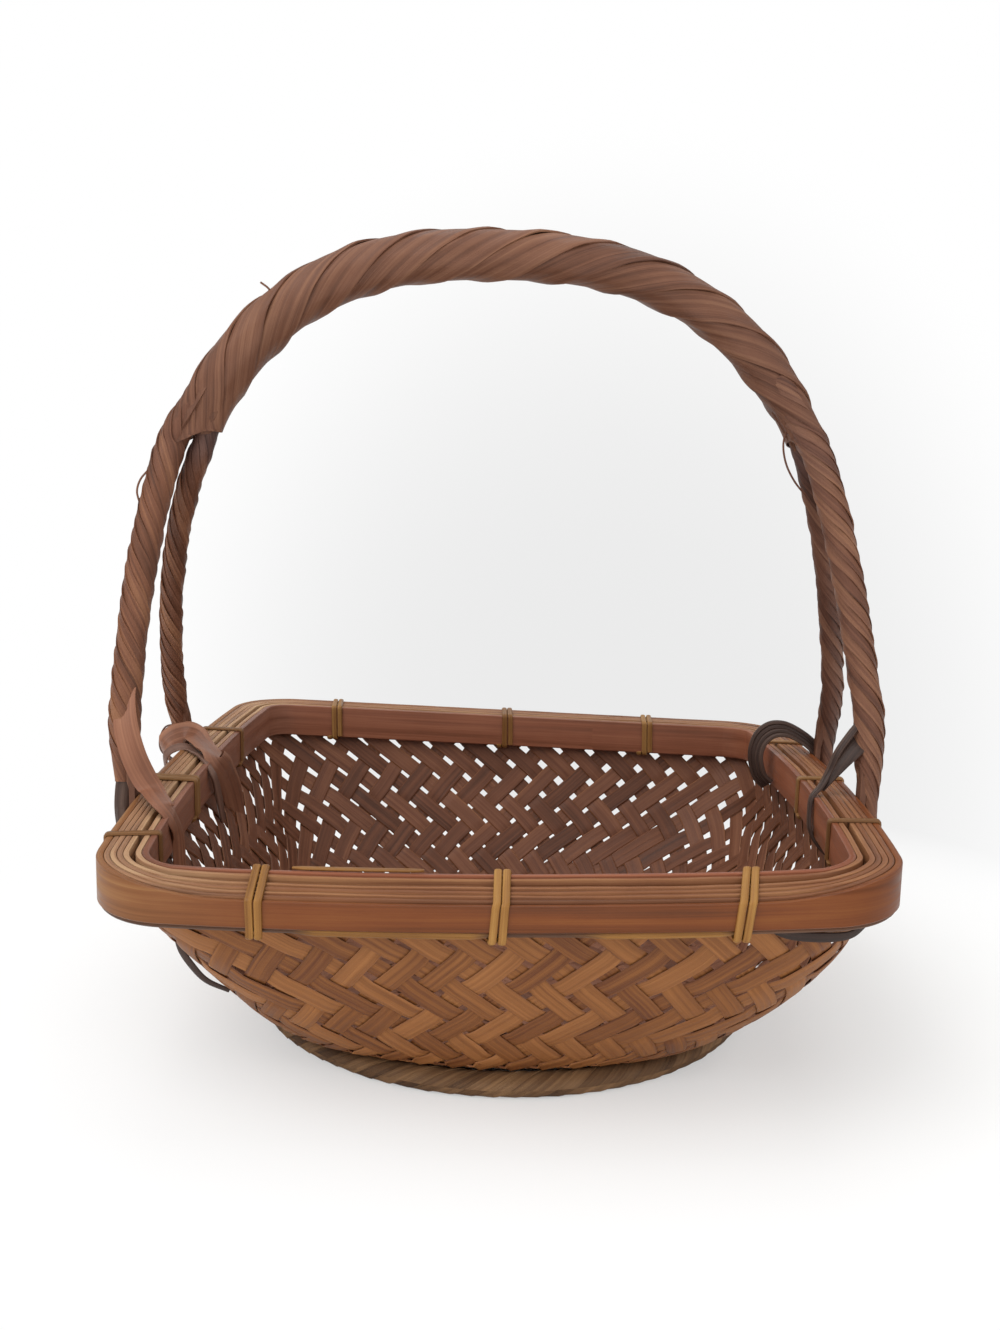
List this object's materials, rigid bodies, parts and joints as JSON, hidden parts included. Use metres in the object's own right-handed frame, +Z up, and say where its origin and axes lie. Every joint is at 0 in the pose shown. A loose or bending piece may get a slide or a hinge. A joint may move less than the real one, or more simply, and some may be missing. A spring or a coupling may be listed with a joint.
{
  "type": "ikebana basket",
  "caption": "Square twilled bowl on a round wound foot ring, with a broad laminated rim and a tall wrapped arch handle whose legs are tied to the rim; it holds a flower arrangement.",
  "frame": {"origin": "on the floor, under the middle of the whole part", "axes": "+Z up, -Y towards the front, +X to the right when seen from the front"},
  "size_m": [0.3328, 0.311, 0.341],
  "materials": {
    "rim_bamboo": "satin",
    "strip_bamboo": "satin",
    "woven_bamboo": "satin",
    "handle_bamboo": "satin",
    "core_bamboo": "matte",
    "dark_bamboo": "satin",
    "foot_bamboo": "matte",
    "rattan": "satin"
  },
  "bodies": {
    "root": {"binding_back_left": "rattan", "binding_back_middle": "rattan", "binding_back_right": "rattan", "binding_front_left": "rattan", "binding_front_middle": "rattan", "binding_front_right": "rattan", "binding_left_front": "rattan", "binding_left_middle": "rattan", "binding_left_rear": "rattan", "binding_right_front": "rattan", "binding_right_middle": "rattan", "binding_right_rear": "rattan", "foot_ring_core": "core_bamboo", "foot_ring_wrap": "foot_bamboo", "handle_core_front": "core_bamboo", "handle_core_rear": "core_bamboo", "handle_wrap_1": "handle_bamboo", "handle_wrap_2": "handle_bamboo", "handle_wrap_3": "handle_bamboo", "handle_wrap_4": "handle_bamboo", "leg_wrap_front_left_1": "handle_bamboo", "leg_wrap_front_left_2": "handle_bamboo", "leg_wrap_front_right_1": "handle_bamboo", "leg_wrap_front_right_2": "handle_bamboo", "leg_wrap_rear_left_1": "handle_bamboo", "leg_wrap_rear_left_2": "handle_bamboo", "leg_wrap_rear_right_1": "handle_bamboo", "leg_wrap_rear_right_2": "handle_bamboo", "rim_inner_band": "rim_bamboo", "rim_outer_band": "rim_bamboo", "rim_strip_1": "strip_bamboo", "rim_strip_2": "strip_bamboo", "rim_strip_3": "strip_bamboo", "rim_strip_4": "strip_bamboo", "rim_strip_5": "strip_bamboo", "rim_under_strip": "rattan", "tie_front_left": "strip_bamboo", "tie_front_right": "dark_bamboo", "tie_rear_left": "strip_bamboo", "tie_rear_right": "dark_bamboo", "woven_bowl": "woven_bamboo"}
  },
  "joints": []
}
